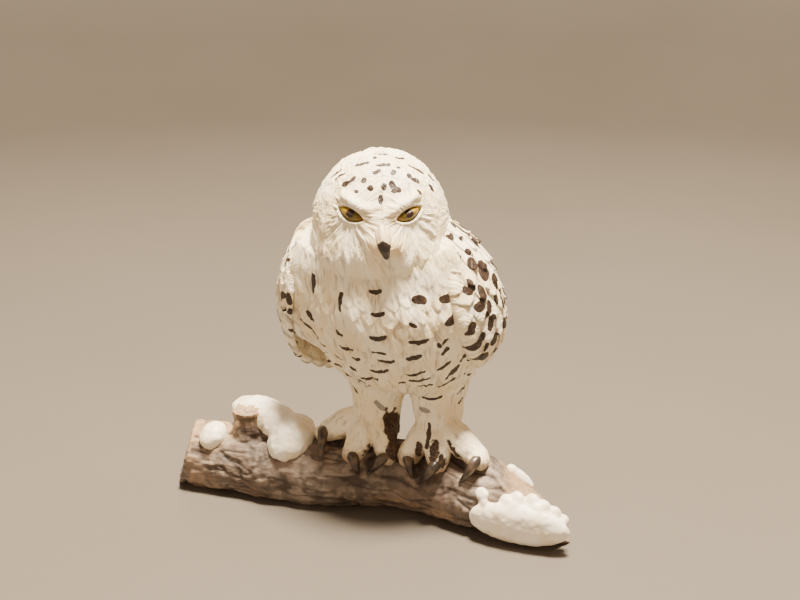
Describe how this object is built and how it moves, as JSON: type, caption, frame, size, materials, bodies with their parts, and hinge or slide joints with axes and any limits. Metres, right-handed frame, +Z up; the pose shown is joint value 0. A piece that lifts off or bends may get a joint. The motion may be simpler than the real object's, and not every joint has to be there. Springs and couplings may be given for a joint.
{
  "type": "owl figurine",
  "caption": "Painted snowy owl figurine standing on a bent bark-covered log, with a broken side twig and lumps of snow on the log.",
  "frame": {"origin": "under the middle of the object's bounding box, on the surface that the log stands on", "axes": "+X along the log towards its slanted broken end with the snow drift, -Y the way the owl's face looks, +Z up"},
  "size_m": [0.0724, 0.0408, 0.067],
  "materials": {
    "white_feathers": "matt white paint with dark brown painted bars",
    "leg_feathers": "matt cream paint with brown stains",
    "yellow_iris": "glossy yellow paint with a dark pupil",
    "black_horn": "satin black paint",
    "brown_bark": "matt brown paint with a light dry-brushed wash",
    "snow": "smooth satin off-white paint"
  },
  "bodies": {
    "root": {"owl_body": "white_feathers", "owl_head": "white_feathers", "left_wing": "white_feathers", "right_wing": "white_feathers", "tail": "white_feathers", "left_leg": "leg_feathers", "right_leg": "leg_feathers", "left_eye": "yellow_iris", "right_eye": "yellow_iris", "beak": "black_horn", "left_inner_claw": "black_horn", "left_middle_claw": "black_horn", "left_outer_claw": "black_horn", "left_rear_claw": "black_horn", "right_inner_claw": "black_horn", "right_middle_claw": "black_horn", "right_outer_claw": "black_horn", "right_rear_claw": "black_horn", "branch": "brown_bark", "snow_ball": "snow", "snow_cap": "snow", "snow_drift": "snow", "snow_strip": "snow"}
  },
  "joints": []
}
